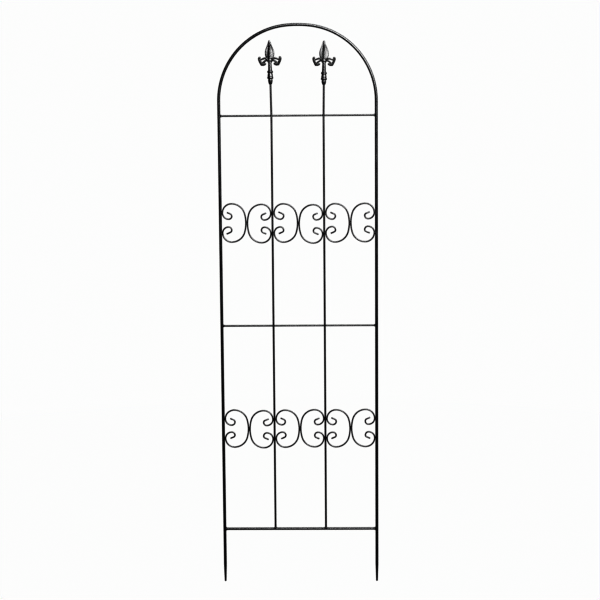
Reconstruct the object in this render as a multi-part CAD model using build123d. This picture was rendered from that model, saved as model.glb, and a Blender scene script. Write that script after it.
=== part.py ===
from build123d import *
from math import atan2, cos, degrees, hypot, radians, sin, sqrt
import os

# A tall garden trellis panel: a round-bar hoop with an arched top whose two ends run on as
# stakes, three crossbars, two upright rods with cast spear finials, and two rows of bent-wire
# C-scrolls, all welded together.
# Sizes are in millimetres. X runs across the panel, the front faces -Y, and Z is up. The origin
# is on the ground line under the stake tips, midway between the legs, in the hoop's own plane.

# Frame hoop
panel_height = 1800.0  # stake tip to the outside of the arch's crown
leg_spacing = 495.0  # between the centrelines of the two legs
frame_d = 9.0
haunch_centre_x = 11.5  # from the panel's middle to the centre of the arch's side arc
crown_centre_drop = 113.4  # from the side arcs' centres down to the centre of the crown's arc
stake_taper = 58.0  # length of the drawn-down point
stake_tip_d = 5.6
stake_tip_rounding = 1.6

# Crossbars
bottom_bar_d = 8.0
bottom_bar_z = 176.0
crossbar_d = 5.5
top_bar_drop = 46.0  # below the spring of the arch

# Uprights
upright_d = 6.0

# C-scrolls, each half described from the middle of its back to the end of its curl
wire_d = 4.5
lower_row_drop = 0.7  # from midway between the bars down to the middle of the lower row
upper_row_drop = 5.2  # the same for the upper row
back_radius = 109.0
back_turn = 16.0  # degrees of the back's arc on each side of its middle
shoulder_radius = 42.7
curl_radius = 19.7  # from the post contact round to the foot of the curl
eye_radius = 10.2
eye_inner_radius = 7.4
eye_inner_turn = 67.0  # degrees
curl_end_length = 11.7

# Welds, the half sizes being those of the spheroid that the bars are taken out of
weld_gap = 0.4  # root gap that a bead bridges between two bars
weld_fit = 0.05  # from a bead to the surfaces that it fills between
bar_weld_stand = 1.7  # how far a bead stands out round the end of a bar
bar_weld_length = 4.2  # half its length along that bar
crossing_weld_stand = 0.9  # how far a bead shows beside an upright where a crossbar crosses it
crossing_weld_depth = 2.0  # half its size through the panel
foot_weld_height = 3.4  # half the height of the bead round an upright's foot
wire_weld_width = 2.7  # half the width of a bead beside a scroll wire
curl_weld_length = 4.5  # half its length along the post
back_weld_length = 6.5  # half its length between two scroll backs

# Cast finials, from the mouth of the socket up
finial_mouth_rise = 95.5  # from the top crossbar up to the mouth
socket_depth = 26.0
socket_clearance = 0.1
socket_end_gap = 0.3
mouth_wall = 1.1
bud_height = 15.5
bud_radius = 6.5
bud_swell = 0.9  # how far the bud's side bulges past the straight line of its cone
ring_height = 8.2
lower_ring_radius = 9.5
upper_ring_radius = 8.7
barrel_height = 11.0
barrel_radius = 7.0
barrel_waist_radius = 5.9
neck_height = 33.5
neck_radius = 5.2
neck_top_radius = 4.6
knuckle_radius = 5.0

# Spear blade of a finial
blade_foot_rise = 2.0  # from the knuckle's centre up to the foot of the blade
blade_height = 58.0
blade_width = 28.0
blade_thickness = 9.0
blade_edge = 0.6  # share of the thickness that is left at the blade's edges
blade_stations = (  # shares of the height, the width and the thickness, from foot to point
    (0.0, 0.54, 0.8),
    (0.12, 0.87, 0.94),
    (0.32, 1.0, 1.0),
    (0.55, 0.79, 0.86),
    (0.77, 0.41, 0.64),
    (1.0, 0.05, 0.3),
)
midrib_width = 3.4
blade_rim_width = 2.4
flute_rise = 20.5  # from the blade's foot to the middle of a flute
flute_length = 35.0
flute_depth = 2.2  # below the crest of the midrib
flute_lean = 5.0  # degrees in towards the midrib at the top
flute_pitch = 3.0  # degrees that the flutes follow the thinning blade

# Side leaves of a finial, placed from the knuckle's centre
leaf_span = 70.0  # between the outer edges of the two upturned tips
leaf_tip_radius = 3.4
leaf_knob_swell = 0.3  # from a limb's radius to that of the knob at its end
leaf_root_drop = 10.5
leaf_root_radius = 2.4
leaf_root_bow = 3.0
leaf_crest_reach = 13.0
leaf_crest_rise = 5.0
leaf_branch_radius = 2.1
leaf_branch_bow = 1.6
leaf_tip_rise = 1.5
leaf_arm_radius = 2.9
leaf_arm_bow = 3.0
leaf_lobe_reach = 23.5
leaf_lobe_drop = 14.0
leaf_foot_radius = 2.6
leaf_foot_bow = 1.0
leaf_foot_reach = 14.5
leaf_foot_drop = 12.5
leaf_fork_radius = 2.2
leaf_fork_bow = 3.0
leaf_fork_reach = 9.0
leaf_fork_rise = 1.5

# Directions
across = (1, 0, 0)
through = (0, 1, 0)
up = (0, 0, 1)

# Radii and places that follow from the sizes above
frame_r = frame_d / 2
bottom_bar_r = bottom_bar_d / 2
crossbar_r = crossbar_d / 2
upright_r = upright_d / 2
wire_r = wire_d / 2
leg_x = leg_spacing / 2

haunch_radius = leg_x - haunch_centre_x
haunch_turn = degrees(atan2(crown_centre_drop, haunch_centre_x))
crown_radius = haunch_radius + hypot(haunch_centre_x, crown_centre_drop)
spring_z = panel_height - frame_r - crown_radius + crown_centre_drop  # where the legs end
top_bar_z = spring_z - top_bar_drop
middle_bar_z = (bottom_bar_z + top_bar_z) / 2
finial_mouth_z = top_bar_z + finial_mouth_rise

crossbar_y = frame_r - crossbar_r  # flush with the back of the hoop
upright_y = crossbar_y - crossbar_r - weld_gap - upright_r  # in front of the crossbars
scroll_y = upright_y / 2  # midway between the legs' plane and the uprights'
bottom_bar_y = bottom_bar_r - frame_r  # flush with the front of the hoop


def side_reach(post_r, post_y):
    """Distance along X from a post's centreline to that of a scroll wire welded to its side."""
    apart = post_r + wire_r + weld_gap
    return sqrt(apart**2 - (post_y - scroll_y) ** 2)


leg_reach = side_reach(frame_r, 0)
upright_reach = side_reach(upright_r, upright_y)
upright_x = (leg_x - leg_reach + upright_reach) / 3  # makes the scrolls of all bays alike
back_spacing = wire_d + weld_gap  # between the two scroll backs of a bay
scroll_width = upright_x - upright_reach - back_spacing / 2
bay_middle_x = (leg_x - leg_reach + upright_x + upright_reach) / 2

shoulder_rise = back_radius * sin(radians(back_turn))
shoulder_rise += shoulder_radius * (1 - sin(radians(back_turn)))  # top of a scroll
shoulder_width = back_radius * (1 - cos(radians(back_turn)))
shoulder_width += shoulder_radius * cos(radians(back_turn))
outer_curl_radius = scroll_width - shoulder_width  # brings the curl out to its post
contact_rise = shoulder_rise - outer_curl_radius  # where the curl touches the post

bars = {  # height, place through the panel, radius
    "bottom": (bottom_bar_z, bottom_bar_y, bottom_bar_r),
    "middle": (middle_bar_z, crossbar_y, crossbar_r),
    "top": (top_bar_z, crossbar_y, crossbar_r),
}
scroll_rows = {  # height of the middle of each row
    "lower": (bottom_bar_z + middle_bar_z) / 2 - lower_row_drop,
    "upper": (middle_bar_z + top_bar_z) / 2 - upper_row_drop,
}
bay_middles = (-bay_middle_x, 0, bay_middle_x)
scroll_places = [(bay_x, side) for bay_x in bay_middles for side in (-1, 1)]
upright_foot_z = bottom_bar_z + bottom_bar_r + weld_gap
upright_top_z = finial_mouth_z + socket_depth - socket_end_gap
bar_end_x = leg_x - frame_r - weld_gap

lower_ring_z = bud_height
barrel_z = lower_ring_z + ring_height
upper_ring_z = barrel_z + barrel_height
neck_z = upper_ring_z + ring_height
knuckle_z = neck_z + neck_height


def bent_path(start, heading, runs):
    """A wire in the XZ plane of straight runs (None, length) and tangent arcs (radius, turn)."""
    point = Vector(*start)
    edges = []
    for radius, amount in runs:
        if radius is None:
            edge = PolarLine(point, amount, heading)
        else:
            direction = (cos(radians(heading)), sin(radians(heading)))
            edge = JernArc(point, direction, radius, amount)
            heading += amount
        edges.append(edge)
        point = edge @ 1
    return Plane.XZ * Wire(edges)


def round_bar(path, radius):
    """A bar of round section along a path."""
    return sweep((path ^ 0) * Circle(radius), path=path)


def rod(start, end, radius):
    """A straight round rod between two points."""
    along = Vector(*end) - Vector(*start)
    middle = (Vector(*start) + Vector(*end)) / 2
    return Plane(origin=middle, z_dir=along) * Cylinder(radius, along.length)


def spheroid(centre, axis, half_length, radius):
    """An ellipse turned about its long or short axis, which points along axis."""
    side = EllipticalCenterArc((0, 0), radius, half_length, start_angle=-90, arc_size=180)
    chord = Line((0, half_length), (0, -half_length))
    turned = revolve(Plane.XZ * make_face([side, chord]), Axis.Z)
    return Plane(origin=centre, z_dir=axis) * turned


# Frame hoop


def stake(x):
    """The drawn-down point of one leg, with a rounded end."""
    point = Cone(stake_tip_d / 2, frame_r, stake_taper, align=(Align.CENTER, Align.CENTER, Align.MIN))
    end_edge = point.edges().sort_by(Axis.Z)[0]
    return Pos(x, 0, 0) * fillet(end_edge, stake_tip_rounding)


def make_frame_hoop():
    """One bar up, over a three-centred arch and down, with a stake at both ends."""
    leg_run = (None, spring_z - stake_taper)
    haunch_run = (haunch_radius, -haunch_turn)
    crown_run = (crown_radius, 2 * haunch_turn - 180)
    path = bent_path(
        (-leg_x, stake_taper), 90, [leg_run, haunch_run, crown_run, haunch_run, leg_run]
    )
    return round_bar(path, frame_r) + stake(-leg_x) + stake(leg_x)


# Crossbars and uprights


def make_bar(z, y, radius, grown=0):
    """A square-cut bar between the inner sides of the legs, or that bar grown all over."""
    end_x = bar_end_x + grown
    return rod((-end_x, y, z), (end_x, y, z), radius + grown)


def make_upright(x, grown=0):
    """A rod from the bottom bar up into the finial's socket, or that rod grown all over."""
    foot = (x, upright_y, upright_foot_z - grown)
    top = (x, upright_y, upright_top_z + grown)
    return rod(foot, top, upright_r + grown)


def make_leg(x, grown=0):
    """The straight part of one leg, as the form that beads are fitted to."""
    return rod((x, 0, 0), (x, 0, top_bar_z + frame_d), frame_r + grown)


# C-scrolls


def scroll_wire(grown=0):
    """A C-scroll with the middle of its back at the origin and its curls towards -X."""
    half = bent_path(
        (0, 0),
        90,
        [
            (back_radius, back_turn),
            (shoulder_radius, 90 - back_turn),
            (outer_curl_radius, 90),
            (curl_radius, 90),
            (eye_radius, 90),
            (eye_inner_radius, eye_inner_turn),
            (None, curl_end_length),
        ],
    )
    path = Wire([*half.edges(), *mirror(half, about=Plane.XY).edges()])
    return round_bar(path, wire_r + grown)


def place_scroll(shape, bay_x, side, row_z):
    """Sets a scroll in its bay: side -1 has its curls to the left, side 1 to the right."""
    facing = shape if side < 0 else mirror(shape, about=Plane.YZ)
    return Pos(bay_x + side * back_spacing / 2, scroll_y, row_z) * facing


# Finials


def turned_stem():
    """Socket bud, two rings with a barrel between them, and the neck, in one turned profile."""
    mouth_radius = upright_r + socket_clearance + mouth_wall
    bud_middle = ((mouth_radius + bud_radius) / 2 + bud_swell, bud_height / 2)
    lower_ring_middle = (lower_ring_radius, lower_ring_z + ring_height / 2)
    barrel_middle = (barrel_radius, barrel_z + barrel_height / 2)
    upper_ring_middle = (upper_ring_radius, upper_ring_z + ring_height / 2)
    outline = [
        Line((0, 0), (mouth_radius, 0)),
        ThreePointArc((mouth_radius, 0), bud_middle, (bud_radius, lower_ring_z)),
        ThreePointArc((bud_radius, lower_ring_z), lower_ring_middle, (barrel_waist_radius, barrel_z)),
        ThreePointArc((barrel_waist_radius, barrel_z), barrel_middle, (barrel_waist_radius, upper_ring_z)),
        ThreePointArc((barrel_waist_radius, upper_ring_z), upper_ring_middle, (neck_radius, neck_z)),
        Line((neck_radius, neck_z), (neck_top_radius, knuckle_z)),
        Line((neck_top_radius, knuckle_z), (0, knuckle_z)),
        Line((0, knuckle_z), (0, 0)),
    ]
    return revolve(Plane.XZ * make_face(outline), Axis.Z)


def blade_section(width, thickness):
    """A lens with cut-off edges, the plan section of the blade."""
    half_width = width / 2
    half_edge = thickness * blade_edge / 2
    outline = [
        ThreePointArc((-half_width, -half_edge), (0, -thickness / 2), (half_width, -half_edge)),
        Line((half_width, -half_edge), (half_width, half_edge)),
        ThreePointArc((half_width, half_edge), (0, thickness / 2), (-half_width, half_edge)),
        Line((-half_width, half_edge), (-half_width, -half_edge)),
    ]
    return make_face(outline)


def flute(side, front):
    """The spheroid that cuts the hollow of one half of a blade face."""
    half_width = (blade_width / 2 - blade_rim_width - midrib_width / 2) / 2
    radius = (half_width**2 + flute_depth**2) / (2 * flute_depth)
    half_length = flute_length / 2 / sqrt(1 - (1 - flute_depth / radius) ** 2)
    centre_x = side * (midrib_width / 2 + half_width)
    centre_y = front * (blade_thickness / 2 - flute_depth + radius)
    turn = Rot(front * flute_pitch, -side * flute_lean, 0)
    return Pos(centre_x, centre_y, flute_rise) * turn * spheroid((0, 0, 0), up, half_length, radius)


def spear_blade():
    """The blade, its foot on the XY plane: a lofted lens hollowed beside its midrib."""
    sections = [
        Pos(0, 0, rise * blade_height) * blade_section(wide * blade_width, thick * blade_thickness)
        for rise, wide, thick in blade_stations
    ]
    blade = loft(sections)
    for side in (-1, 1):
        for front in (-1, 1):
            blade -= flute(side, front)
    return blade


def limb(start, end, bow, radius):
    """A cast limb of round section along an arc."""
    return round_bar(Plane.XZ * SagittaArc(start, end, bow), radius)


def knob(place, radius):
    """The ball at the end of a limb, and where limbs meet."""
    x, z = place
    return Pos(x, 0, z) * Sphere(radius)


def side_leaf():
    """The right-hand leaf about the knuckle: root, branch, arm, foot and fork."""
    root = (neck_top_radius - leaf_root_radius, -leaf_root_drop)
    crest = (leaf_crest_reach, leaf_crest_rise)
    tip = (leaf_span / 2 - leaf_tip_radius, leaf_tip_rise)
    lobe = (leaf_lobe_reach, -leaf_lobe_drop)
    foot = (leaf_foot_reach, -leaf_foot_drop)
    fork = (leaf_fork_reach, leaf_fork_rise)
    leaf = limb(root, crest, leaf_root_bow, leaf_root_radius)
    leaf += knob(crest, leaf_root_radius + leaf_knob_swell)
    leaf += limb(crest, tip, leaf_branch_bow, leaf_branch_radius)
    leaf += knob(tip, leaf_tip_radius)
    leaf += limb(tip, lobe, leaf_arm_bow, leaf_arm_radius)
    leaf += knob(lobe, leaf_arm_radius + leaf_knob_swell)
    leaf += limb(lobe, foot, leaf_foot_bow, leaf_foot_radius)
    leaf += knob(foot, leaf_foot_radius + leaf_knob_swell)
    leaf += limb(fork, lobe, leaf_fork_bow, leaf_fork_radius)
    return leaf + knob(fork, leaf_fork_radius + leaf_knob_swell)


def make_finial():
    """The whole casting with its socket's mouth at the origin."""
    leaf = Pos(0, 0, knuckle_z) * side_leaf()
    casting = turned_stem() + Pos(0, 0, knuckle_z) * Sphere(knuckle_radius)
    casting += Pos(0, 0, knuckle_z + blade_foot_rise) * spear_blade()
    casting += leaf
    casting += mirror(leaf, about=Plane.YZ)
    bottom_up = (Align.CENTER, Align.CENTER, Align.MIN)
    return casting - Cylinder(upright_r + socket_clearance, socket_depth, align=bottom_up)


# Weld beads, each a spheroid with the bars that it joins taken out


def bar_end_weld(side, z, y, radius):
    """The collar where a bar's end meets the inner side of a leg, level with the hoop's back."""
    bead = spheroid((side * bar_end_x, y, z), across, bar_weld_length, radius + bar_weld_stand)
    bead -= make_bar(z, y, radius, weld_fit)
    bead -= make_leg(side * leg_x, weld_fit)
    return split(bead, Plane.XZ.offset(-frame_r), keep=Keep.TOP)


def crossing_weld(x, z):
    """The bead between an upright and the crossbar behind it."""
    centre = (x, crossbar_y - crossbar_r - weld_gap / 2, z)
    bead = spheroid(centre, through, crossing_weld_depth, upright_r + crossing_weld_stand)
    return bead - make_upright(x, weld_fit) - make_bar(z, crossbar_y, crossbar_r, weld_fit)


def foot_weld(x):
    """The bead round an upright's foot on the bottom bar."""
    centre = (x, (upright_y + bottom_bar_y) / 2, upright_foot_z - weld_gap / 2)
    bead = spheroid(centre, up, foot_weld_height, upright_r + bar_weld_stand)
    return bead - make_upright(x, weld_fit) - make_bar(bottom_bar_z, bottom_bar_y, bottom_bar_r, weld_fit)


def curl_welds(row_z, bay_x, side, post_x, post_y, post_r):
    """The two beads between a scroll's curls and the post beside them."""
    wire_x = bay_x + side * (back_spacing / 2 + scroll_width)
    share = (post_r + weld_gap / 2) / (post_r + weld_gap + wire_r)
    bead_x = post_x + (wire_x - post_x) * share
    bead_y = post_y + (scroll_y - post_y) * share
    scroll = place_scroll(scroll_wire(weld_fit), bay_x, side, row_z)
    post = rod((post_x, post_y, 0), (post_x, post_y, top_bar_z), post_r + weld_fit)
    beads = []
    for rise in (-contact_rise, contact_rise):
        bead = spheroid((bead_x, bead_y, row_z + rise), up, curl_weld_length, wire_weld_width)
        beads.append(bead - scroll - post)
    return beads


def back_weld(row_z, bay_x):
    """The bead between the two scroll backs of a bay."""
    bead = spheroid((bay_x, scroll_y, row_z), up, back_weld_length, wire_weld_width)
    for side in (-1, 1):
        bead -= place_scroll(scroll_wire(weld_fit), bay_x, side, row_z)
    return bead


def post_beside(bay_x, side):
    """Centre and radius of the post that a scroll's curls meet: a leg or an upright."""
    if bay_x * side > 0:
        return side * leg_x, 0, frame_r
    upright_side = side if bay_x == 0 else -side
    return upright_side * upright_x, upright_y, upright_r


def make_welds():
    """Every bead, grouped by the kind of joint it makes and, on the scrolls, by their row."""
    groups = {"welds_bar_ends": [], "welds_crossings": [], "welds_feet": []}
    for side in (-1, 1):
        groups["welds_bar_ends"] += [bar_end_weld(side, *bar) for bar in bars.values()]
        groups["welds_crossings"] += [crossing_weld(side * upright_x, z) for z in (middle_bar_z, top_bar_z)]
        groups["welds_feet"].append(foot_weld(side * upright_x))
    for row, row_z in scroll_rows.items():
        curl_beads = groups.setdefault(f"welds_curls_{row}", [])
        for bay_x, side in scroll_places:
            curl_beads += curl_welds(row_z, bay_x, side, *post_beside(bay_x, side))
        groups[f"welds_backs_{row}"] = [back_weld(row_z, bay_x) for bay_x in bay_middles]
    return {name: Compound([bead.solid() for bead in beads]) for name, beads in groups.items()}


def make_panel():
    """Every piece of the panel by its name."""
    pieces = {"frame_hoop": make_frame_hoop()}
    for name, bar in bars.items():
        pieces[f"crossbar_{name}"] = make_bar(*bar)
    scroll = scroll_wire()
    for row, row_z in scroll_rows.items():
        for number, (bay_x, side) in enumerate(scroll_places, start=1):
            pieces[f"scroll_{row}_{number}"] = place_scroll(scroll, bay_x, side, row_z)
    finial = make_finial()
    for name, side in (("left", -1), ("right", 1)):
        pieces[f"upright_{name}"] = make_upright(side * upright_x)
        pieces[f"finial_{name}"] = Pos(side * upright_x, upright_y, finial_mouth_z) * finial
    return pieces | make_welds()


os.makedirs("parts", exist_ok=True)
for name, shape in make_panel().items():
    export_step(shape, f"parts/{name}.step")
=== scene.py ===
import math
import random

import bmesh
import bpy
import numpy as np
from mathutils import Euler, Matrix, Vector, noise


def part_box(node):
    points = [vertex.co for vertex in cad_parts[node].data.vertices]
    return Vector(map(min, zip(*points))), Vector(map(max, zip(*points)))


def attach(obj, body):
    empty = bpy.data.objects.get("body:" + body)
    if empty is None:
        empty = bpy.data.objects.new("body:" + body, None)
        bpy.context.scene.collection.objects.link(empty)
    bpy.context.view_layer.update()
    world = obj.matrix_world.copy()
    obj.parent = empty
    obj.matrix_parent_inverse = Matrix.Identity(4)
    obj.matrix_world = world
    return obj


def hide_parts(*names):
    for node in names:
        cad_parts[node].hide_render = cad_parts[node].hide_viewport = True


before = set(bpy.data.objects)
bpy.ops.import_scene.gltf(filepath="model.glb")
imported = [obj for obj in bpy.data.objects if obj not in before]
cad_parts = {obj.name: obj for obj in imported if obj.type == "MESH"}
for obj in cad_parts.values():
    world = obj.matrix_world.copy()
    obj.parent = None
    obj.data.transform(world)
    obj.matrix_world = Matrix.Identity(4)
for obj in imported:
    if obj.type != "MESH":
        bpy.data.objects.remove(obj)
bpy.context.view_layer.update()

bl_info = {
    "name": "Garden trellis panel",
    "version": (1, 0, 0),
    "blender": (4, 5, 0),
    "location": "3D View > Sidebar > Trellis",
    "description": "Builds the bars, scrolls, castings and welds of an arched garden trellis panel",
    "category": "Add Mesh",
}

# Lengths are in metres, with MM for those given in millimetres. X runs across the panel, the
# front faces -Y, Z is up, and the ground is at zero. Places are read from the frame's boxes.

MM = 0.001
BODY = "root"
SIDES = {"left": -1, "right": 1}
BARS = ("bottom", "middle", "top")
ROWS = ("lower", "upper")
SCROLLS_PER_ROW = 6


def box_middle(node):
    """Centre of a node's box."""
    low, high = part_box(node)
    return (low + high) / 2


def box_size(node):
    """Edge lengths of a node's box."""
    low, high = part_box(node)
    return high - low


FRAME_R = box_size("frame_hoop").y / 2
LEG_X = box_size("frame_hoop").x / 2 - FRAME_R
PANEL_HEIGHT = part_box("frame_hoop")[1].z
BAR_R = {bar: box_size("crossbar_" + bar).y / 2 for bar in BARS}
UPRIGHT_R = box_size("upright_left").x / 2
WIRE_R = box_size("scroll_lower_1").y / 2
SCROLL_WIDTH = box_size("scroll_lower_1").x - 2 * WIRE_R
CURL_RISE = box_size("scroll_lower_1").z / 2 - WIRE_R


def length(name, description, millimetres):
    """A size property given in millimetres."""
    return bpy.props.FloatProperty(
        name=name, description=description, default=millimetres * MM, min=0, unit="LENGTH"
    )


def angle(name, description, degrees):
    """An angle property given in degrees."""
    return bpy.props.FloatProperty(
        name=name, description=description, default=math.radians(degrees), subtype="ANGLE"
    )


def share(name, description, default):
    """A property between none and all."""
    return bpy.props.FloatProperty(
        name=name, description=description, default=default, min=0, max=1, subtype="FACTOR"
    )


def linear(code):
    """The linear colour of an sRGB hex code, with full alpha."""
    parts = [int(code[i : i + 2], 16) / 255 for i in (0, 2, 4)]
    return tuple(c / 12.92 if c <= 0.04045 else ((c + 0.055) / 1.055) ** 2.4 for c in parts) + (1,)


def colour(name, description, code):
    """A colour property given as an sRGB hex code."""
    return bpy.props.FloatVectorProperty(
        name=name, description=description, default=linear(code), size=4, min=0, max=1,
        subtype="COLOR",
    )


class TrellisHoopSizes(bpy.types.PropertyGroup):
    """Shape of the arch and the stakes."""

    haunch_centre_x: length("Haunch centre", "From the panel's middle to a side arc's centre", 11.5)
    crown_centre_drop: length("Crown centre drop", "From the side arcs' centres to the crown's", 113.4)
    stake_taper: length("Stake taper", "Length of the drawn-down point of a stake", 58)
    stake_tip_r: length("Stake tip radius", "Radius of a stake just above its rounded end", 2.8)
    stake_rounding: length("Stake rounding", "Radius of the rounding at a stake's end", 1.6)


class TrellisScrollSizes(bpy.types.PropertyGroup):
    """Bend radii and turns of a C-scroll, from the middle of its back to the end of its curl."""

    back_radius: length("Back", "Bend radius of the back", 109)
    back_turn: angle("Back turn", "Turn of the back on each side of its middle", 16)
    shoulder_radius: length("Shoulder", "Bend radius of the shoulder", 42.7)
    curl_radius: length("Curl", "Bend radius from the post round to the foot of the curl", 19.7)
    eye_radius: length("Eye", "Bend radius of the eye", 10.2)
    inner_radius: length("Inner eye", "Bend radius of the last bend", 7.4)
    inner_turn: angle("Inner eye turn", "Turn of the last bend", 67)
    end_run: length("End run", "Straight run at the end of the wire", 11.7)
    end_chamfer: length("End chamfer", "Break of the sheared end's edge", 0.4)
    hand_spread: share("Hand spread", "How much the hand-bent curls differ from each other", 0.05)


class TrellisFinialSizes(bpy.types.PropertyGroup):
    """Detail of the cast finials."""

    voxel: length("Grain of the skin", "Edge of the cells that the casting's skin is made from", 0.4)
    sand_depth: length("Sand depth", "How far the cast surface wanders in and out", 0.1)
    sand_size: length("Sand size", "Distance between the rises of the cast surface", 2.6)
    hollow_depth: length("Hollow depth", "Depth of the blade's hollows below its midrib", 2.1)
    lean_left: angle("Left lean", "How far the left rod leans out above the top crossbar", 1.1)
    lean_right: angle("Right lean", "How far the right rod leans out above the top crossbar", 0.8)
    vein_height: length("Vein height", "Rise of the slanting veins in the blade's hollows", 0.22)


class TrellisWeldSizes(bpy.types.PropertyGroup):
    """Shape of the rippled weld beads."""

    ripple_pitch: length("Ripple pitch", "Distance between the ripples of a bead", 1.15)
    ripple_r: length("Ripple radius", "Half the width of a bead", 1.6)
    skin: length("Skin cell", "Edge of the cells that a bead's skin is made from", 0.3)


class TrellisFinish(bpy.types.PropertyGroup):
    """Colours and gloss of the paint."""

    enamel: colour("Enamel", "Colour of the black enamel", "070708")
    enamel_thin: colour("Thin enamel", "Colour where the coat is thinner", "0F1011")
    dust: colour("Dust", "Colour of the fine dust in the coat", "2A2A2B")
    bar_roughness: share("Bar roughness", "Roughness of the paint on the bars", 0.3)
    casting_roughness: share("Casting roughness", "Roughness of the paint on the castings", 0.42)
    weld_roughness: share("Weld roughness", "Roughness of the paint on the weld beads", 0.22)


class TrellisStage(bpy.types.PropertyGroup):
    """Camera, floor and lights."""

    camera_x: length("Camera across", "Camera's place across the panel", 107.8)
    camera_distance: length("Camera distance", "From the camera to the panel", 5228)
    camera_height: length("Camera height", "Height of the camera above the ground", 1658)
    camera_pitch: angle("Camera pitch", "How far the camera looks down", 7.955)
    camera_yaw: angle("Camera yaw", "How far the camera is turned to its left", 1.146)
    camera_roll: angle("Camera roll", "How far the camera is rolled", -0.458)
    camera_lens: bpy.props.FloatProperty(
        name="Lens", description="Focal length in millimetres for a 36 mm sensor", default=99.22)
    floor_radius: length("Floor radius", "Radius of the floor", 3000)
    floor: colour("Floor", "Colour of the floor", "FEFEFE")
    backdrop: colour("Backdrop", "Colour seen beyond the floor", "FEFEFE")


GROUPS = {
    "trellis_hoop": TrellisHoopSizes,
    "trellis_scroll": TrellisScrollSizes,
    "trellis_finial": TrellisFinialSizes,
    "trellis_weld": TrellisWeldSizes,
    "trellis_finish": TrellisFinish,
    "trellis_stage": TrellisStage,
}


# Nodes


def add_node(tree, kind, inputs=(), **settings):
    """Adds a node with its settings. An input is a value, or the output socket that feeds it."""
    node = tree.nodes.new(kind)
    for name, value in settings.items():
        setattr(node, name, value)
    for key, value in dict(inputs).items():
        if isinstance(value, bpy.types.NodeSocket):
            tree.links.new(value, node.inputs[key])
        else:
            node.inputs[key].default_value = value
    return node


def new_tree(name, inputs):
    """An empty geometry tree with its group inputs, and the node that gives them."""
    tree = bpy.data.node_groups.new(name, "GeometryNodeTree")
    tree.interface.new_socket("Geometry", in_out="INPUT", socket_type="NodeSocketGeometry")
    for label, kind in inputs.items():
        tree.interface.new_socket(label, in_out="INPUT", socket_type=kind)
    tree.interface.new_socket("Geometry", in_out="OUTPUT", socket_type="NodeSocketGeometry")
    return tree, add_node(tree, "NodeGroupInput").outputs


def finish_tree(tree, geometry, material):
    """Ends a tree with real, smooth geometry in its material."""
    real = add_node(tree, "GeometryNodeRealizeInstances", {"Geometry": geometry}).outputs[0]
    smooth = add_node(tree, "GeometryNodeSetShadeSmooth", {"Geometry": real}).outputs[0]
    painted = add_node(tree, "GeometryNodeSetMaterial", {"Geometry": smooth, "Material": material})
    add_node(tree, "NodeGroupOutput", {0: painted.outputs[0]})
    return tree


def run_tree(tree, mesh, values):
    """The plain mesh that a geometry tree makes from another."""
    holder = bpy.data.objects.new("holder", mesh)
    bpy.context.scene.collection.objects.link(holder)
    modifier = holder.modifiers.new("tree", "NODES")
    modifier.node_group = tree
    for item in tree.interface.items_tree:
        if item.in_out == "INPUT" and item.name in values:
            modifier[item.identifier] = values[item.name]
    shown = holder.evaluated_get(bpy.context.evaluated_depsgraph_get())
    made = bpy.data.meshes.new_from_object(shown)
    holder.modifiers.remove(modifier)
    bpy.data.objects.remove(holder)
    return made


def bar_tree():
    """A round bar along each line of a mesh, thinned by the points' taper."""
    tree, given = new_tree("round_bar", {
        "Radius": "NodeSocketFloat", "Sides": "NodeSocketInt", "Material": "NodeSocketMaterial"})
    line = add_node(tree, "GeometryNodeMeshToCurve", {"Mesh": given["Geometry"]})
    section = add_node(tree, "GeometryNodeCurvePrimitiveCircle", {
        "Radius": given["Radius"], "Resolution": given["Sides"]})
    taper = add_node(tree, "GeometryNodeInputNamedAttribute", {"Name": "taper"}, data_type="FLOAT")
    bar = add_node(tree, "GeometryNodeCurveToMesh", {
        "Curve": line.outputs[0], "Profile Curve": section.outputs["Curve"],
        "Scale": taper.outputs["Attribute"], "Fill Caps": True})
    return finish_tree(tree, bar.outputs[0], given["Material"])


RIPPLE_SWELL = (0.88, 1.12)  # smallest and largest ripple, as shares of the usual one


def bead_tree():
    """Overlapping ripples along each line of a mesh, each a little different from the next."""
    tree, given = new_tree("rippled_bead", {
        "Radius": "NodeSocketFloat", "Pitch": "NodeSocketFloat", "Flatness": "NodeSocketFloat",
        "Seed": "NodeSocketInt", "Material": "NodeSocketMaterial"})
    line = add_node(tree, "GeometryNodeMeshToCurve", {"Mesh": given["Geometry"]})
    places = add_node(tree, "GeometryNodeCurveToPoints", {
        "Curve": line.outputs[0], "Length": given["Pitch"]}, mode="LENGTH")
    ripple = add_node(tree, "GeometryNodeMeshIcoSphere", {"Radius": given["Radius"], "Subdivisions": 3})
    squashed = add_node(tree, "ShaderNodeCombineXYZ", {"X": 1.0, "Y": 1.0, "Z": given["Flatness"]})
    swell = add_node(tree, "FunctionNodeRandomValue", {
        2: RIPPLE_SWELL[0], 3: RIPPLE_SWELL[1], "Seed": given["Seed"]}, data_type="FLOAT")
    size = add_node(tree, "ShaderNodeVectorMath", {
        0: squashed.outputs[0], "Scale": swell.outputs[1]}, operation="SCALE")
    ripples = add_node(tree, "GeometryNodeInstanceOnPoints", {
        "Points": places.outputs["Points"], "Instance": ripple.outputs["Mesh"],
        "Rotation": places.outputs["Rotation"], "Scale": size.outputs[0]})
    return finish_tree(tree, ripples.outputs[0], given["Material"])


# Materials


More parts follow.
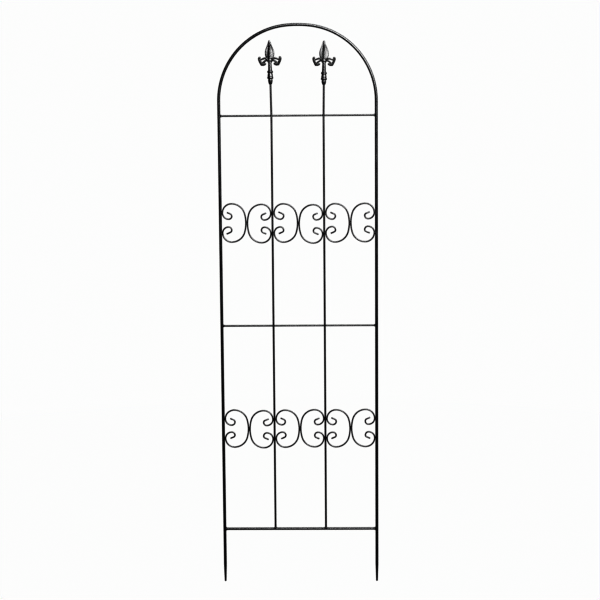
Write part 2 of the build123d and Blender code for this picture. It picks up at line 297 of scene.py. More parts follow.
COAT_DRIFT = 35 * MM  # between places where the coat is thicker and thinner
DUST_SPACING = 0.9 * MM
THIN_COAT = (0.45, 0.7)  # where in its drift the coat begins to thin, and is thinnest
DUSTY = (0.7, 0.78)  # where in its pattern the dust begins, and is thickest
DUST_COVER = 0.6  # share of the coat that the thickest dust hides
GLOSS_DRIFT = (0.3, 0.7)  # where in its drift the coat is smoothest and roughest
GLOSS_SPREAD = (0.8, 1.25)  # its roughness there, as shares of the usual one
WIRE_DULLING = 1.1  # roughness of the coat on the wires, as a share of that on the bars


def enamel(name, finish, roughness, bump_layers, ior=1.5):
    """Black enamel over metal: the coat thins a little in places and holds some fine dust.

    Each bump layer is the distance between its rises and its height.
    """
    material = bpy.data.materials.new(name)
    material.use_nodes = True
    tree = material.node_tree
    shader = tree.nodes["Principled BSDF"]
    place = add_node(tree, "ShaderNodeTexCoord").outputs["Object"]
    drift = add_node(tree, "ShaderNodeTexNoise", {
        "Vector": place, "Scale": 1 / COAT_DRIFT, "Detail": 3.0})
    thinness = add_node(tree, "ShaderNodeMapRange", {
        "Value": drift.outputs["Fac"], "From Min": THIN_COAT[0], "From Max": THIN_COAT[1]})
    specks = add_node(tree, "ShaderNodeTexNoise", {
        "Vector": place, "Scale": 1 / DUST_SPACING, "Detail": 1.0})
    dusty = add_node(tree, "ShaderNodeMapRange", {
        "Value": specks.outputs["Fac"], "From Min": DUSTY[0], "From Max": DUSTY[1],
        "To Max": DUST_COVER})
    coat = add_node(tree, "ShaderNodeMix", {
        0: thinness.outputs[0], 6: finish.enamel, 7: finish.enamel_thin}, data_type="RGBA")
    paint = add_node(tree, "ShaderNodeMix", {
        0: dusty.outputs[0], 6: coat.outputs[2], 7: finish.dust}, data_type="RGBA")
    gloss = add_node(tree, "ShaderNodeMapRange", {
        "Value": drift.outputs["Fac"], "From Min": GLOSS_DRIFT[0], "From Max": GLOSS_DRIFT[1],
        "To Min": roughness * GLOSS_SPREAD[0], "To Max": roughness * GLOSS_SPREAD[1]})
    normal = None
    for distance, height in bump_layers:
        wave = add_node(tree, "ShaderNodeTexNoise", {
            "Vector": place, "Scale": 1 / distance, "Detail": 2.0})
        bump = add_node(tree, "ShaderNodeBump", {
            "Height": wave.outputs["Fac"], "Distance": height, "Strength": 1.0})
        if normal:
            tree.links.new(normal, bump.inputs["Normal"])
        normal = bump.outputs["Normal"]
    tree.links.new(paint.outputs[2], shader.inputs["Base Color"])
    tree.links.new(gloss.outputs[0], shader.inputs["Roughness"])
    tree.links.new(normal, shader.inputs["Normal"])
    shader.inputs["IOR"].default_value = ior
    return material


def make_materials():
    """Every finish of the panel."""
    finish = bpy.context.scene.trellis_finish
    bar, casting = finish.bar_roughness, finish.casting_roughness
    # Stoved enamel on drawn round bar: deep black with a soft sheen, and the faint orange peel
    # of a dipped coat. The peel is about 3 mm from crest to crest.
    enamel("stoved_enamel_on_drawn_bar", finish, bar, [(3 * MM, 0.12 * MM)], ior=1.46)
    # The same coat on bent wire, a little duller all over, as the bending jig has marked the wire.
    wire = bar * WIRE_DULLING
    enamel("stoved_enamel_on_bent_wire", finish, wire, [(2 * MM, 0.1 * MM)], ior=1.44)
    # Enamel pooled over sand-cast iron: a satin black with the grain of the sand showing
    # through, which breaks up the light.
    enamel("pooled_enamel_on_cast_iron", finish, casting, [
        (2.2 * MM, 0.25 * MM), (0.8 * MM, 0.08 * MM)])
    # Enamel over weld metal, glossier than the coat on the bars, so that the ripples glint.
    enamel("stoved_enamel_on_weld", finish, finish.weld_roughness, [(1.2 * MM, 0.2 * MM)])


# Meshes


def add_piece(name, mesh, material, node):
    """Puts a finished mesh in the scene as the piece that stands for one of the frame's nodes."""
    mesh.materials.clear()
    mesh.materials.append(bpy.data.materials[material])
    piece = bpy.data.objects.new(name, mesh)
    bpy.context.scene.collection.objects.link(piece)
    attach(piece, BODY)
    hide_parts(node)


def line_mesh(lines, tapers=None):
    """A mesh of open lines, each a list of points, with a taper for every point."""
    points = [point for line in lines for point in line]
    edges = []
    start = 0
    for line in lines:
        edges += [(start + i, start + i + 1) for i in range(len(line) - 1)]
        start += len(line)
    mesh = bpy.data.meshes.new("lines")
    mesh.from_pydata(points, edges, [])
    taper = mesh.attributes.new("taper", "FLOAT", "POINT")
    taper.data.foreach_set("value", tapers or [1.0] * len(points))
    return mesh


HOOP_SIDES = 48
ROD_SIDES = 40
WIRE_SIDES = 28
SHARP_ANGLE = math.radians(50)  # between faces of a bar, past which the edge shows
BEND_RUN = 6 * MM  # over which an upright bends above the top crossbar


def make_bar(line, tapers, radius, sides, material):
    """A round bar along a line, its end faces kept sharp."""
    values = {"Radius": radius, "Sides": sides, "Material": bpy.data.materials[material]}
    mesh = run_tree(bpy.data.node_groups["round_bar"], line_mesh([line], tapers), values)
    mesh.set_sharp_from_angle(angle=SHARP_ANGLE)
    return mesh


def bend(start, heading, runs, step=math.radians(3)):
    """Points in the panel's plane along straight runs (None, length) and arcs (radius, turn)."""
    x, z = start
    points = [(x, z)]
    for radius, amount in runs:
        if radius is None:
            x += amount * math.cos(heading)
            z += amount * math.sin(heading)
            points.append((x, z))
            continue
        side = math.copysign(1, amount)
        centre_x = x - side * radius * math.sin(heading)
        centre_z = z + side * radius * math.cos(heading)
        count = math.ceil(abs(amount) / step)
        for i in range(1, count + 1):
            at = heading + amount * i / count
            x = centre_x + side * radius * math.sin(at)
            z = centre_z - side * radius * math.cos(at)
            points.append((x, z))
        heading += amount
    return points


# Hoop and straight bars


def hoop_line(sizes):
    """Points and tapers from one stake tip over the arch to the other."""
    haunch_radius = LEG_X - sizes.haunch_centre_x
    haunch_turn = math.atan2(sizes.crown_centre_drop, sizes.haunch_centre_x)
    crown_radius = haunch_radius + math.hypot(sizes.haunch_centre_x, sizes.crown_centre_drop)
    spring = PANEL_HEIGHT - FRAME_R - crown_radius + sizes.crown_centre_drop
    half = bend((-LEG_X, spring), math.pi / 2, [
        (haunch_radius, -haunch_turn), (crown_radius, haunch_turn - math.pi / 2)], math.radians(1.5))
    stake = []
    for turn in (0, 20, 40, 60, 90):
        rise = sizes.stake_rounding * (1 - math.cos(math.radians(turn)))
        inset = sizes.stake_rounding * (1 - math.sin(math.radians(turn)))
        stake.append((rise, (sizes.stake_tip_r - inset) / FRAME_R))
    stake.append((sizes.stake_taper, 1.0))
    left = [(-LEG_X, z) for z, _ in stake] + half
    tapers = [taper for _, taper in stake] + [1.0] * len(half)
    right = [(-x, z) for x, z in left[-2::-1]]
    line = [(x, 0, z) for x, z in left + right]
    return line, tapers + tapers[-2::-1]


def make_hoop():
    """The frame bar: legs, arch and stakes in one."""
    line, tapers = hoop_line(bpy.context.scene.trellis_hoop)
    mesh = make_bar(line, tapers, FRAME_R, HOOP_SIDES, "stoved_enamel_on_drawn_bar")
    add_piece("hoop_bar", mesh, "stoved_enamel_on_drawn_bar", "frame_hoop")


def make_straight_bars():
    """Crossbars and uprights, each between the ends of its own box."""
    for bar in BARS:
        node = "crossbar_" + bar
        low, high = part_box(node)
        y, z = box_middle(node).y, box_middle(node).z
        mesh = make_bar([(low.x, y, z), (high.x, y, z)], None, BAR_R[bar], ROD_SIDES,
                        "stoved_enamel_on_drawn_bar")
        add_piece("rod_" + bar, mesh, "stoved_enamel_on_drawn_bar", node)
    for side in SIDES:
        node = "upright_" + side
        low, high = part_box(node)
        x, y = box_middle(node).x, box_middle(node).y
        crossing = box_middle("crossbar_top").z
        ends = [leaning(side) @ Vector((x, y, z)) for z in (crossing + BEND_RUN, high.z)]
        mesh = make_bar([(x, y, low.z), (x, y, crossing), *ends], None, UPRIGHT_R,
                        ROD_SIDES, "stoved_enamel_on_drawn_bar")
        add_piece("stem_" + side, mesh, "stoved_enamel_on_drawn_bar", node)


# C-scrolls


SCROLL_LIFTS = {  # millimetres that each scroll was set above or below its row, from left to right
    "lower": (0, -2.5, -1, 0, -0.5, 0.5),
    "upper": (2, -0.5, 1, -2.5, 0.5, 1),
}


def shoulder_reach(sizes):
    """From the middle of a scroll's back to the centre of its outer curl, across the panel."""
    turn = sizes.back_turn
    return sizes.back_radius * (1 - math.cos(turn)) + sizes.shoulder_radius * math.cos(turn)


def half_scroll(sizes, hand):
    """Upper half of a scroll with curls to -X, its free end never bent twice the same."""
    quarter = math.pi / 2
    spread = sizes.hand_spread
    turn_off = hand.uniform(-spread, spread)
    points = bend((0, 0), quarter, [
        (sizes.back_radius, sizes.back_turn),
        (sizes.shoulder_radius, quarter - sizes.back_turn),
        (SCROLL_WIDTH - shoulder_reach(sizes), quarter),
        (sizes.curl_radius * (1 + hand.uniform(-spread, spread)), quarter),
        (sizes.eye_radius * (1 + hand.uniform(-spread, spread)), quarter + turn_off),
        (sizes.inner_radius * (1 + 2 * hand.uniform(-spread, spread)), sizes.inner_turn - turn_off),
        (None, sizes.end_run * (1 + 2 * hand.uniform(-spread, spread))),
    ], math.radians(5))
    (x0, z0), (x1, z1) = points[-2:]
    reach = sizes.end_chamfer / math.hypot(x1 - x0, z1 - z0)
    points.append((x1 + (x1 - x0) * reach, z1 + (z1 - z0) * reach))
    return points, [1.0] * (len(points) - 1) + [1 - sizes.end_chamfer / WIRE_R]


def scroll_line(sizes, hand):
    """Points and tapers of a whole scroll, the middle of its back at the origin."""
    upper, upper_tapers = half_scroll(sizes, hand)
    lower, lower_tapers = half_scroll(sizes, hand)
    line = [(x, -z) for x, z in lower[:0:-1]] + upper
    return line, lower_tapers[:0:-1] + upper_tapers


def scroll_middle_z(row, number):
    """Height of the middle of a scroll's back."""
    return box_middle(f"scroll_{row}_{number}").z + SCROLL_LIFTS[row][number - 1] * MM


def make_scrolls():
    """All the C-scrolls. Odd ones have their curls to the left, even ones to the right."""
    for row in ROWS:
        for number in range(1, SCROLLS_PER_ROW + 1):
            node = f"scroll_{row}_{number}"
            low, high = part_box(node)
            y, z0 = box_middle(node).y, scroll_middle_z(row, number)
            facing = 1 if number % 2 else -1
            back_x = high.x - WIRE_R if facing > 0 else low.x + WIRE_R
            line, tapers = scroll_line(bpy.context.scene.trellis_scroll, random.Random(node))
            placed = [(back_x + facing * x, y, z0 + z) for x, z in line]
            mesh = make_bar(placed, tapers, WIRE_R, WIRE_SIDES, "stoved_enamel_on_bent_wire")
            add_piece(f"c_{row}_{number}", mesh, "stoved_enamel_on_bent_wire", node)


# Finials, modelled in millimetres about the stem's axis, with the socket's mouth at zero height

STEM_PROFILE = (  # height and radius of the turned stem
    (0, 3.9), (0.8, 4.5), (4, 5.7), (8, 6.6), (11.5, 6.9), (14.5, 6.6), (15.9, 6.5),
    (16.7, 8.3), (18, 9.2), (19.6, 9.4), (21.3, 9.1), (22.6, 8.3), (23.4, 8.0),
    (24.6, 8.2), (27, 8.1), (29.2, 7.8), (31.5, 7.4), (34, 6.9), (35, 6.9),
    (35.9, 8.1), (37.4, 8.9), (38.9, 9.0), (40.6, 8.6), (42.1, 7.2), (43.2, 6.2),
    (46, 5.8), (54, 5.6), (64, 5.1), (72, 4.6), (77, 4.2),
)
BLADE_OUTLINE = (  # height, half width and share of the full thickness
    (78.6, 7.4, 0.95), (81, 10.0, 1.0), (84.5, 12.4, 1.0), (90, 14.1, 0.95), (98, 14.6, 0.87),
    (105, 13.5, 0.77), (112, 11.2, 0.66), (118.5, 8.5, 0.55), (125, 6.0, 0.44),
    (130.5, 4.2, 0.36), (134.2, 2.9, 0.29), (136.6, 1.4, 0.18),
)
BLADE_HALF_THICKNESS = 6.0
BLADE_EDGE = 0.25  # half the thickness that is always left
BLADE_SHOULDER = 0.62  # share of the midrib's height that the face keeps out to the rim
RIM_SHARE = 0.84  # of the blade's half width, to the crest of its raised rim
HOLLOW_FOOT = (78, 7)  # height where the hollows start, and the run in which they reach their depth
HOLLOW_HEAD = (131, 14)  # height where they end, and the run in which they run out
HOLLOW_DEEPENING = (80, 30)  # height and run over which they sink from a quarter to their full depth
VEIN_PITCH = 5.2
VEIN_SLANT = 0.9  # rise along the blade for each step away from the midrib
LEAF_LIMBS = (  # points across and up, with the half width and half depth there
    ((0.6, 62.0, 1.8, 5.0), (2.8, 67.3, 2.5, 5.8), (5.8, 73.0, 2.9, 5.6), (9.2, 78.0, 3.2, 5.0),
     (13.4, 80.8, 3.3, 4.6), (18.8, 80.5, 2.9, 4.2), (24.2, 78.4, 2.6, 4.0), (29.3, 77.0, 2.8, 3.8)),
    ((32.2, 84.0, 3.0, 3.2), (32.9, 79.6, 3.8, 4.2), (31.2, 73.2, 3.9, 4.8), (28.2, 67.2, 4.0, 4.9),
     (25.2, 62.2, 4.4, 4.8), (23.4, 59.8, 3.0, 3.4)),
    ((25.2, 62.6, 4.2, 4.8), (20.6, 62.2, 4.2, 4.8), (16.0, 63.6, 3.8, 4.6), (12.8, 66.0, 2.6, 3.4)),
    ((7.4, 74.6, 2.4, 4.4), (12.0, 74.0, 2.7, 4.2), (16.6, 71.6, 2.8, 4.2), (20.4, 68.2, 3.0, 4.4),
     (23.0, 64.6, 3.2, 4.6)),
)
LEAF_KNOB = (31.8, 83.0)  # middle of the knob at a leaf's upturned tip
LEAF_KNOB_RADII = (3.7, 4.0, 3.6)
LEAF_MIDDLE_Z = 72
LEAF_CURL = 0.22  # how far a leaf comes forward for each step above its middle
RING_HEIGHTS = (19.6, 38.9)
RINGS_END = 60  # height above which the stem is the same on both castings
CAST_RING_HEIGHTS = {"left": (20.6, 38.9), "right": (17.8, 35.4)}  # no two castings quite alike
TWISTS = {"left": 3, "right": 4}  # degrees that each was turned on its rod
BLADE_LEANS = {"left": -1, "right": 7}  # degrees that each blade was bent back above the boss
FINIAL_LIFTS = {"left": 2.4, "right": 0.0}  # millimetres that each was fitted above its mark
BOSS_PLACE = (6.2, 76.4)  # forward and up, to the flat boss where blade, leaves and stem meet
BOSS_RADII = (5.2, 1.9, 5.2)
BOSS_TILT = math.radians(14)
LIMB_SHARES = {"left": 1.03, "right": 0.92}  # of the drawn limb width, as each was fettled
LEAF_GROOVE = 0.14  # share of a limb's depth taken by the groove along it


def smooth_curve(knots, count):
    """Evenly counted rows along a smooth curve through rows of numbers."""
    rows = np.array(knots, float)
    rows = np.vstack([2 * rows[0] - rows[1], rows, 2 * rows[-1] - rows[-2]])
    spans = len(rows) - 3
    out = []
    for t in np.linspace(0, spans, count):
        i = min(int(t), spans - 1)
        f = t - i
        a, b, c, d = rows[i : i + 4]
        out.append(0.5 * (2 * b + (c - a) * f + (2 * a - 5 * b + 4 * c - d) * f**2
                          + (3 * b - a - 3 * c + d) * f**3))
    return np.array(out)


def skin_rings(shape, rings):
    """Adds a closed skin over a row of rings of points, capped at both ends."""
    made = [[shape.verts.new(point) for point in ring] for ring in rings]
    count = len(made[0])
    for low, high in zip(made, made[1:]):
        for i in range(count):
            j = (i + 1) % count
            shape.faces.new((low[i], low[j], high[j], high[i]))
    shape.faces.new(made[0][::-1])
    shape.faces.new(made[-1])


def round_ring(radius, height, count=48):
    """A level ring about the stem."""
    turns = [2 * math.pi * i / count for i in range(count)]
    return [(radius * math.cos(t), radius * math.sin(t), height) for t in turns]


HOLLOW_AT_FOOT = 0.25  # depth of the blade's hollows at their foot, as a share of the full one
BULGE_POWER = 0.8  # under 1, so that the blade's section is fuller than an ellipse
DIP_POWER = 1.2  # over 1, so that a hollow's sides are gentler than a sine's
CREST_POWER = 1.5  # how sharply the midrib stands up
GROOVE_WIDTH = 0.4  # of a leaf limb, as a share of its half width
LIMB_STEPS, STEM_STEPS, BLADE_STEPS = 8, 150, 130  # rings for each point of a limb, and in all
CASTING_SMOOTHING, BEAD_SMOOTHING = 3, 1  # rounds of smoothing on a fused skin
SOFTENING = 0.5  # how far each round moves it
FINE_SAND = (0.5, 2.3)  # height and closeness of the finer grain, as shares of the coarser one
SKIN_SHIFT = 7.0  # between the places in the grain where the two castings' skins start


def blade_ring(height, half_width, thick, hollow_depth, vein_height, lean, count=72):
    """The blade's section: a midrib and raised rims with a veined hollow between them."""
    ring = []
    back = math.tan(lean) * (height - BLADE_OUTLINE[0][0])
    foot, foot_run = HOLLOW_FOOT
    head, head_run = HOLLOW_HEAD
    start, run = HOLLOW_DEEPENING
    fade = min(1, (height - foot) / foot_run) * min(1, max(0, (head - height) / head_run))
    sink = HOLLOW_AT_FOOT + (1 - HOLLOW_AT_FOOT) * min(1, (height - start) / run)
    for i in range(count):
        turn = 2 * math.pi * i / count
        u = math.cos(turn)
        bulge = abs(math.sin(turn)) ** BULGE_POWER
        off = abs(u)
        dip = math.sin(math.pi * min(1, off / RIM_SHARE)) ** DIP_POWER
        vein = math.cos(2 * math.pi * (height - VEIN_SLANT * off * half_width) / VEIN_PITCH)
        crest = BLADE_SHOULDER + (1 - BLADE_SHOULDER) * (1 - off) ** CREST_POWER
        depth = BLADE_HALF_THICKNESS * thick * crest * bulge
        depth -= fade * dip * (hollow_depth * sink - vein_height * max(0, vein) ** 2)
        y = math.copysign(max(depth, BLADE_EDGE), math.sin(turn))
        ring.append((u * half_width, y + back, height))
    return ring


def limb_rings(points, side, limb_share, count=20):
    """Rings along a leaf's limb, oval and grooved front and back."""
    rows = smooth_curve(points, LIMB_STEPS * len(points))
    rows[:, 2] *= limb_share
    headings = np.gradient(rows[:, :2], axis=0)
    rings = []
    for (x, z, half_width, half_depth), (dx, dz) in zip(rows, headings):
        run = math.hypot(dx, dz)
        across_x, across_z = -dz / run, dx / run
        ring = []
        for i in range(count):
            turn = 2 * math.pi * i / count
            wide = half_width * math.cos(turn)
            groove = 1 - LEAF_GROOVE * math.exp(-((wide / half_width / GROOVE_WIDTH) ** 2))
            deep = half_depth * math.sin(turn) * groove
            height = z + across_z * wide
            lean = LEAF_CURL * (height - LEAF_MIDDLE_Z)
            ring.append((side * (x + across_x * wide), deep - lean, height))
        rings.append(ring)
    return rings


def finial_shapes(sizes, blade_lean, limb_share):
    """Stem, boss, blade and leaves as closed shells that overlap where they join."""
    shape = bmesh.new()
    profile = smooth_curve(STEM_PROFILE, STEM_STEPS)
    skin_rings(shape, [round_ring(radius, height) for height, radius in profile])
    for face in (-1, 1):
        boss = Matrix.Translation((0, face * BOSS_PLACE[0], BOSS_PLACE[1]))
        boss = boss @ Matrix.Rotation(face * BOSS_TILT, 4, "X") @ Matrix.Diagonal((*BOSS_RADII, 1))
        bmesh.ops.create_icosphere(shape, subdivisions=4, radius=1, matrix=boss)
    hollow_depth, vein_height = sizes.hollow_depth / MM, sizes.vein_height / MM
    outline = smooth_curve(BLADE_OUTLINE, BLADE_STEPS)
    skin_rings(shape, [blade_ring(*row, hollow_depth, vein_height, blade_lean) for row in outline])
    for side in SIDES.values():
        for points in LEAF_LIMBS:
            skin_rings(shape, limb_rings(points, side, limb_share))
        forward = LEAF_CURL * (LEAF_KNOB[1] - LEAF_MIDDLE_Z)
        tip = Matrix.Translation((side * LEAF_KNOB[0], -forward, LEAF_KNOB[1]))
        tip = tip @ Matrix.Diagonal((*LEAF_KNOB_RADII, 1))
        bmesh.ops.create_icosphere(shape, subdivisions=3, radius=1, matrix=tip)
    bmesh.ops.recalc_face_normals(shape, faces=shape.faces)
    return shape


def fused(mesh, cell, smoothing):
    """One skin over all the shells of a mesh, with soft fillets where they meet."""
    holder = bpy.data.objects.new("holder", mesh)
    bpy.context.scene.collection.objects.link(holder)
    skin = holder.modifiers.new("skin", "REMESH")
    skin.mode = "VOXEL"
    skin.voxel_size = cell
    soften = holder.modifiers.new("soften", "SMOOTH")
    soften.factor = SOFTENING
    soften.iterations = smoothing
    shown = holder.evaluated_get(bpy.context.evaluated_depsgraph_get())
    made = bpy.data.meshes.new_from_object(shown)
    bpy.data.objects.remove(holder)
    made.shade_smooth()
    return made


def roughen(mesh, depth, size, seed):
    """Moves a skin in and out a little along its normals, as a sand mould leaves it."""
    offset = Vector((seed, 2 * seed, 3 * seed))
    fine_height, closeness = FINE_SAND
    normals = [vertex.normal.copy() for vertex in mesh.vertices]
    for vertex, normal in zip(mesh.vertices, normals):
        rise = noise.noise(vertex.co / size + offset)
        rise += fine_height * noise.noise(vertex.co / size * closeness + offset)
        vertex.co += normal * rise * depth
    mesh.update()


def leaning(side):
    """Turns what stands above the top crossbar a little outwards, as each rod was bent."""
    sizes = bpy.context.scene.trellis_finial
    lean = sizes.lean_left if side == "left" else sizes.lean_right
    upright = box_middle("upright_" + side)
    foot = Vector((upright.x, upright.y, box_middle("crossbar_top").z))
    turn = Matrix.Rotation(SIDES[side] * lean, 4, "Y")
    return Matrix.Translation(foot) @ turn @ Matrix.Translation(-foot)


def shift_rings(mesh, side):
    """Moves the two rings of the stem to where they are on this side's casting."""
    before = (0, *RING_HEIGHTS, RINGS_END)
    after = (0, *CAST_RING_HEIGHTS[side], RINGS_END)
    for vertex in mesh.vertices:
        if vertex.co.z < RINGS_END:
            vertex.co.z = np.interp(vertex.co.z, before, after)


def make_finials():
    """The two spear castings, alike in form and each with its own cast skin."""
    sizes = bpy.context.scene.trellis_finial
    for seed, side in enumerate(SIDES, start=1):
        node = "finial_" + side
        low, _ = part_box(node)
        middle = box_middle(node)
        mesh = bpy.data.meshes.new("casting")
        shape = finial_shapes(sizes, math.radians(BLADE_LEANS[side]), LIMB_SHARES[side])
        shape.to_mesh(mesh)
        shape.free()
        shift_rings(mesh, side)
        mesh.transform(Matrix.Diagonal((MM, MM, MM, 1)))
        mesh = fused(mesh, sizes.voxel, CASTING_SMOOTHING)
        roughen(mesh, sizes.sand_depth, sizes.sand_size, SKIN_SHIFT * seed)
        mesh.transform(Matrix.Rotation(math.radians(TWISTS[side]), 4, "Z"))
        mesh.transform(Matrix.Translation((middle.x, middle.y, low.z + FINIAL_LIFTS[side] * MM)))
        mesh.transform(leaning(side))
        add_piece("casting_" + side, mesh, "pooled_enamel_on_cast_iron", node)


# Weld beads

BEAD_GAP = 0.1 * MM  # from a bar's surface to the middle line of the bead round it
END_BEAD_INSET = 0.9 * MM  # from a crossbar's end to the bead round it
END_BEAD_STOP = 1.2 * MM  # how far short of the hoop's back that bead ends
CROSSING_BEAD_ASIDE = 2.3 * MM  # from the upright's middle
CROSSING_BEAD_FORWARD = 0.2 * MM  # in front of the crossbar
CROSSING_BEAD_HALF = 1.8 * MM  # half the length
FOOT_BEAD_RISE = 0.4 * MM  # above an upright's foot
CURL_BEAD_DEPTH = 0.9 * MM  # in front of and behind the scroll's middle plane
CURL_BEAD_HALF = 3.2 * MM
BACK_BEAD_ASIDE = 0.2 * MM  # past the first scroll's back
BACK_BEAD_DEPTH = 1.0 * MM
BACK_BEAD_HALF = 5 * MM
RIPPLE_FLATNESS = 0.75  # length of a ripple along its bead for its width


def ring_line(centre, axis, radius, count=25):
    """A closed line round an axis through a centre, its first point repeated at its end."""
    turn = Vector(axis).to_track_quat("Z", "Y").to_matrix()
    points = []
    for i in range(count):
        at = 2 * math.pi * i / (count - 1)
        spoke = Vector((radius * math.cos(at), radius * math.sin(at), 0))
        points.append(Vector(centre) + turn @ spoke)
    return points


def upright_line(x, y, z, half_length):
    """A short vertical line."""
    return [(x, y, z - half_length), (x, y, z + half_length)]


def bar_end_lines():
    """A bead round each end of each crossbar."""
    lines = []
    for bar in BARS:
        low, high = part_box("crossbar_" + bar)
        middle = box_middle("crossbar_" + bar)
        for x, inward in ((low.x, 1), (high.x, -1)):
            centre = (x + inward * END_BEAD_INSET, middle.y, middle.z)
            ring = ring_line(centre, (1, 0, 0), BAR_R[bar] + BEAD_GAP)
            lines.append([point for point in ring if point.y < FRAME_R - END_BEAD_STOP])
    return lines


def crossing_lines():
    """Two short beads at each place where an upright passes in front of a crossbar."""
    lines = []
    for side in SIDES:
        upright = box_middle("upright_" + side)
        for bar in BARS[1:]:
            middle = box_middle("crossbar_" + bar)
            y = middle.y - BAR_R[bar] - CROSSING_BEAD_FORWARD
            for beside in (-1, 1):
                x = upright.x + beside * CROSSING_BEAD_ASIDE
                lines.append(upright_line(x, y, middle.z, CROSSING_BEAD_HALF))
    return lines


def foot_lines():
    """A bead round the foot of each upright."""
    lines = []
    for side in SIDES:
        low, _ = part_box("upright_" + side)
        middle = box_middle("upright_" + side)
        centre = (middle.x, middle.y, low.z + FOOT_BEAD_RISE)
        lines.append(ring_line(centre, (0, 0, 1), UPRIGHT_R + BEAD_GAP))
    return lines


def curl_lines(row):
    """Two beads at each curl, one in front of where it touches its post and one behind."""
    lines = []
    contact = CURL_RISE - (SCROLL_WIDTH - shoulder_reach(bpy.context.scene.trellis_scroll))
    for number in range(1, SCROLLS_PER_ROW + 1):
        low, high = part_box(f"scroll_{row}_{number}")
        middle = box_middle(f"scroll_{row}_{number}")
        x = low.x if number % 2 else high.x
        z = scroll_middle_z(row, number)
        for rise in (-contact, contact):
            for depth in (-1, 1):
                y = middle.y + depth * CURL_BEAD_DEPTH
                lines.append(upright_line(x, y, z + rise, CURL_BEAD_HALF))
    return lines


def back_lines(row):
    """Two beads between the backs of each pair of scrolls, front and rear."""
    lines = []
    for number in range(1, SCROLLS_PER_ROW + 1, 2):
        _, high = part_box(f"scroll_{row}_{number}")
        x = high.x + BACK_BEAD_ASIDE
        middle_y = box_middle(f"scroll_{row}_{number}").y
        z = (scroll_middle_z(row, number) + scroll_middle_z(row, number + 1)) / 2
        for depth in (-1, 1):
            lines.append(upright_line(x, middle_y + depth * BACK_BEAD_DEPTH, z, BACK_BEAD_HALF))
    return lines


def make_beads(name, lines, seed, node):
    """Rippled beads along lines, each bead fused into one lump."""
    sizes = bpy.context.scene.trellis_weld
    values = {
        "Radius": sizes.ripple_r, "Pitch": sizes.ripple_pitch, "Flatness": RIPPLE_FLATNESS,
        "Seed": seed, "Material": bpy.data.materials["stoved_enamel_on_weld"]}
    ripples = run_tree(bpy.data.node_groups["rippled_bead"], line_mesh(lines), values)
    mesh = fused(ripples, sizes.skin, BEAD_SMOOTHING)
    add_piece(name, mesh, "stoved_enamel_on_weld", node)


def make_welds():
    """All the weld beads, grouped as the frame's nodes are."""
    make_beads("beads_bar_ends", bar_end_lines(), 11, "welds_bar_ends")
    make_beads("beads_crossings", crossing_lines(), 12, "welds_crossings")
    make_beads("beads_feet", foot_lines(), 13, "welds_feet")
    for seed, row in enumerate(ROWS, start=20):
        make_beads("beads_curls_" + row, curl_lines(row), seed, "welds_curls_" + row)
        make_beads("beads_backs_" + row, back_lines(row), seed + 5, "welds_backs_" + row)


# Stage

FLOOR_SHADES = (0.0008, 0.0006)  # shares of its colour that the floor takes from the lights
FLOOR_ROUGHNESS = 0.9
FLOOR_GLOW = 0.997  # share that it gives off by itself, so that it is as pale as the backdrop
CLOUD_SCALE = 3.0  # drifts of shade in each metre of the floor
BACKDROP_LIGHT = 0.03  # strength of the backdrop as the paint sees it
LIGHTS = {  # place, width and height in metres, and power in watts
    "window": ((1.6, -3.1, 3.3), 4.6, 3.1, 1450),
    "overhead": ((0.6, 1.0, 4.4), 2.4, 2.4, 120),
}
AIM_HEIGHT = PANEL_HEIGHT * 0.8  # that the lights point at
SENSOR_WIDTH = 36  # millimetres
DISPLAY_GAMMA = 0.46  # darkens partly covered edges, so that thin bars on white look full


def make_floor(settings):
    """A plain pale floor."""
    shape = bmesh.new()
    bmesh.ops.create_circle(shape, cap_ends=True, segments=128, radius=settings.floor_radius)
    mesh = bpy.data.meshes.new("floor")
    shape.to_mesh(mesh)
    shape.free()
    material = bpy.data.materials.new("matt_studio_floor")
    material.use_nodes = True
    tree = material.node_tree
    place = add_node(tree, "ShaderNodeTexCoord").outputs["Object"]
    cloud = add_node(tree, "ShaderNodeTexNoise", {
        "Vector": place, "Scale": CLOUD_SCALE, "Detail": 4.0})
    shader = tree.nodes["Principled BSDF"]
    dim, dimmer = ([c * shade for c in settings.floor[:3]] + [1] for shade in FLOOR_SHADES)
    patchy = add_node(tree, "ShaderNodeMix", {
        0: cloud.outputs["Fac"], 6: dim, 7: dimmer}, data_type="RGBA")
    tree.links.new(patchy.outputs[2], shader.inputs["Base Color"])
    shader.inputs["Roughness"].default_value = FLOOR_ROUGHNESS
    shader.inputs["Specular IOR Level"].default_value = 0
    shader.inputs["Emission Color"].default_value = settings.floor
    shader.inputs["Emission Strength"].default_value = FLOOR_GLOW
    mesh.materials.append(material)
    floor = bpy.data.objects.new("floor", mesh)
    bpy.context.scene.collection.objects.link(floor)
    floor.visible_glossy = False
    floor.visible_diffuse = False


def make_world(settings):
    """A pale backdrop that the camera sees, and a dimmer one that lights the paint."""
    world = bpy.data.worlds.new("studio")
    bpy.context.scene.world = world
    world.use_nodes = True
    tree = world.node_tree
    tree.nodes.clear()
    seen = add_node(tree, "ShaderNodeBackground", {"Color": settings.backdrop, "Strength": 1.0})
    lit = add_node(tree, "ShaderNodeBackground", {
        "Color": settings.backdrop, "Strength": BACKDROP_LIGHT})
    ray = add_node(tree, "ShaderNodeLightPath")
    both = add_node(tree, "ShaderNodeMixShader", {
        0: ray.outputs["Is Camera Ray"], 1: lit.outputs[0], 2: seen.outputs[0]})
    add_node(tree, "ShaderNodeOutputWorld", {"Surface": both.outputs[0]})


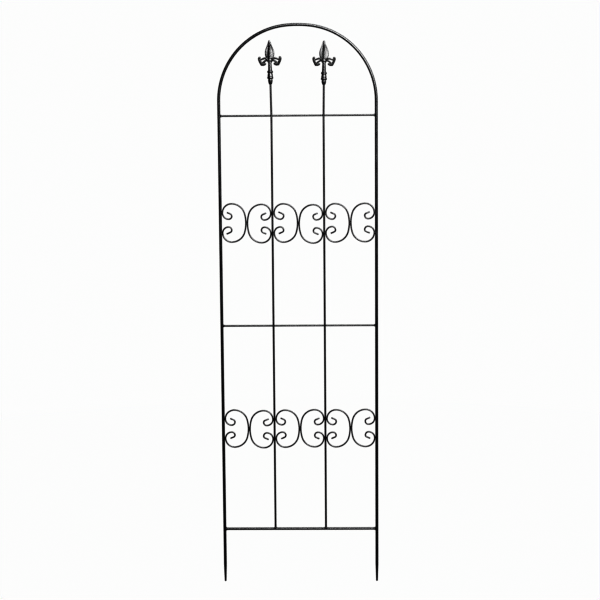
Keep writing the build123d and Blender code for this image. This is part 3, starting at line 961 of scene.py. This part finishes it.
def make_light(name, place, width, height, power):
    """A soft light panel aimed at the upper part of the trellis."""
    data = bpy.data.lights.new(name, "AREA")
    data.shape = "RECTANGLE"
    data.size = width
    data.size_y = height
    data.energy = power
    light = bpy.data.objects.new(name, data)
    light.location = place
    aim = Vector((0, 0, AIM_HEIGHT)) - light.location
    light.rotation_euler = aim.to_track_quat("-Z", "Y").to_euler()
    light.visible_camera = False
    bpy.context.scene.collection.objects.link(light)


def make_camera(settings):
    """The camera, a little above the panel's middle and looking slightly down."""
    data = bpy.data.cameras.new("camera")
    data.lens = settings.camera_lens
    data.sensor_width = SENSOR_WIDTH
    camera = bpy.data.objects.new("camera", data)
    camera.location = (settings.camera_x, -settings.camera_distance, settings.camera_height)
    turn = Euler((math.pi / 2 - settings.camera_pitch, 0, settings.camera_yaw)).to_matrix()
    turn = turn @ Matrix.Rotation(settings.camera_roll, 3, "Z")
    camera.rotation_euler = turn.to_euler()
    bpy.context.scene.collection.objects.link(camera)
    bpy.context.scene.camera = camera


def make_stage():
    """Camera, floor, backdrop and lights."""
    settings = bpy.context.scene.trellis_stage
    make_camera(settings)
    make_floor(settings)
    make_world(settings)
    for name, (place, width, height, power) in LIGHTS.items():
        make_light(name, place, width, height, power)
    bpy.context.scene.view_settings.view_transform = "Standard"
    bpy.context.scene.view_settings.gamma = DISPLAY_GAMMA


# Operators


class TRELLIS_OT_stage(bpy.types.Operator):
    """Set up the camera, the floor, the backdrop and the lights"""

    bl_idname = "trellis.stage"
    bl_label = "Stage"

    def execute(self, context):
        make_stage()
        return {"FINISHED"}


class TRELLIS_OT_materials(bpy.types.Operator):
    """Make the paint finishes and the node trees that the pieces use"""

    bl_idname = "trellis.materials"
    bl_label = "Finishes"

    def execute(self, context):
        make_materials()
        bar_tree()
        bead_tree()
        return {"FINISHED"}


class TRELLIS_OT_hoop(bpy.types.Operator):
    """Make the frame hoop with its arch and stakes"""

    bl_idname = "trellis.hoop"
    bl_label = "Frame hoop"

    def execute(self, context):
        make_hoop()
        return {"FINISHED"}


class TRELLIS_OT_bars(bpy.types.Operator):
    """Make the crossbars and the uprights"""

    bl_idname = "trellis.bars"
    bl_label = "Crossbars and uprights"

    def execute(self, context):
        make_straight_bars()
        return {"FINISHED"}


class TRELLIS_OT_scrolls(bpy.types.Operator):
    """Bend the C-scrolls of both rows"""

    bl_idname = "trellis.scrolls"
    bl_label = "C-scrolls"

    def execute(self, context):
        make_scrolls()
        return {"FINISHED"}


class TRELLIS_OT_finials(bpy.types.Operator):
    """Cast the two spear finials"""

    bl_idname = "trellis.finials"
    bl_label = "Finials"

    def execute(self, context):
        make_finials()
        return {"FINISHED"}


class TRELLIS_OT_welds(bpy.types.Operator):
    """Lay the weld beads"""

    bl_idname = "trellis.welds"
    bl_label = "Weld beads"

    def execute(self, context):
        make_welds()
        return {"FINISHED"}


OPERATORS = (
    TRELLIS_OT_stage,
    TRELLIS_OT_materials,
    TRELLIS_OT_hoop,
    TRELLIS_OT_bars,
    TRELLIS_OT_scrolls,
    TRELLIS_OT_finials,
    TRELLIS_OT_welds,
)


class TRELLIS_PT_panel(bpy.types.Panel):
    """Sizes, colours and pieces of the trellis"""

    bl_idname = "TRELLIS_PT_panel"
    bl_label = "Trellis"
    bl_space_type = "VIEW_3D"
    bl_region_type = "UI"
    bl_category = "Trellis"

    def draw(self, context):
        for name, group in GROUPS.items():
            box = self.layout.box()
            box.label(text=group.__doc__)
            for prop in group.__annotations__:
                box.prop(getattr(context.scene, name), prop)
        for operator in OPERATORS:
            self.layout.operator(operator.bl_idname)


def register():
    for kind in (*GROUPS.values(), *OPERATORS, TRELLIS_PT_panel):
        bpy.utils.register_class(kind)
    for name, group in GROUPS.items():
        setattr(bpy.types.Scene, name, bpy.props.PointerProperty(type=group))


def unregister():
    for name in GROUPS:
        delattr(bpy.types.Scene, name)
    for kind in (TRELLIS_PT_panel, *reversed(OPERATORS), *reversed(GROUPS.values())):
        bpy.utils.unregister_class(kind)


def main():
    """Builds the whole panel and its stage."""
    register()
    for operator in OPERATORS:
        family, name = operator.bl_idname.split(".")
        getattr(getattr(bpy.ops, family), name)()


if __name__ == "__main__":
    main()
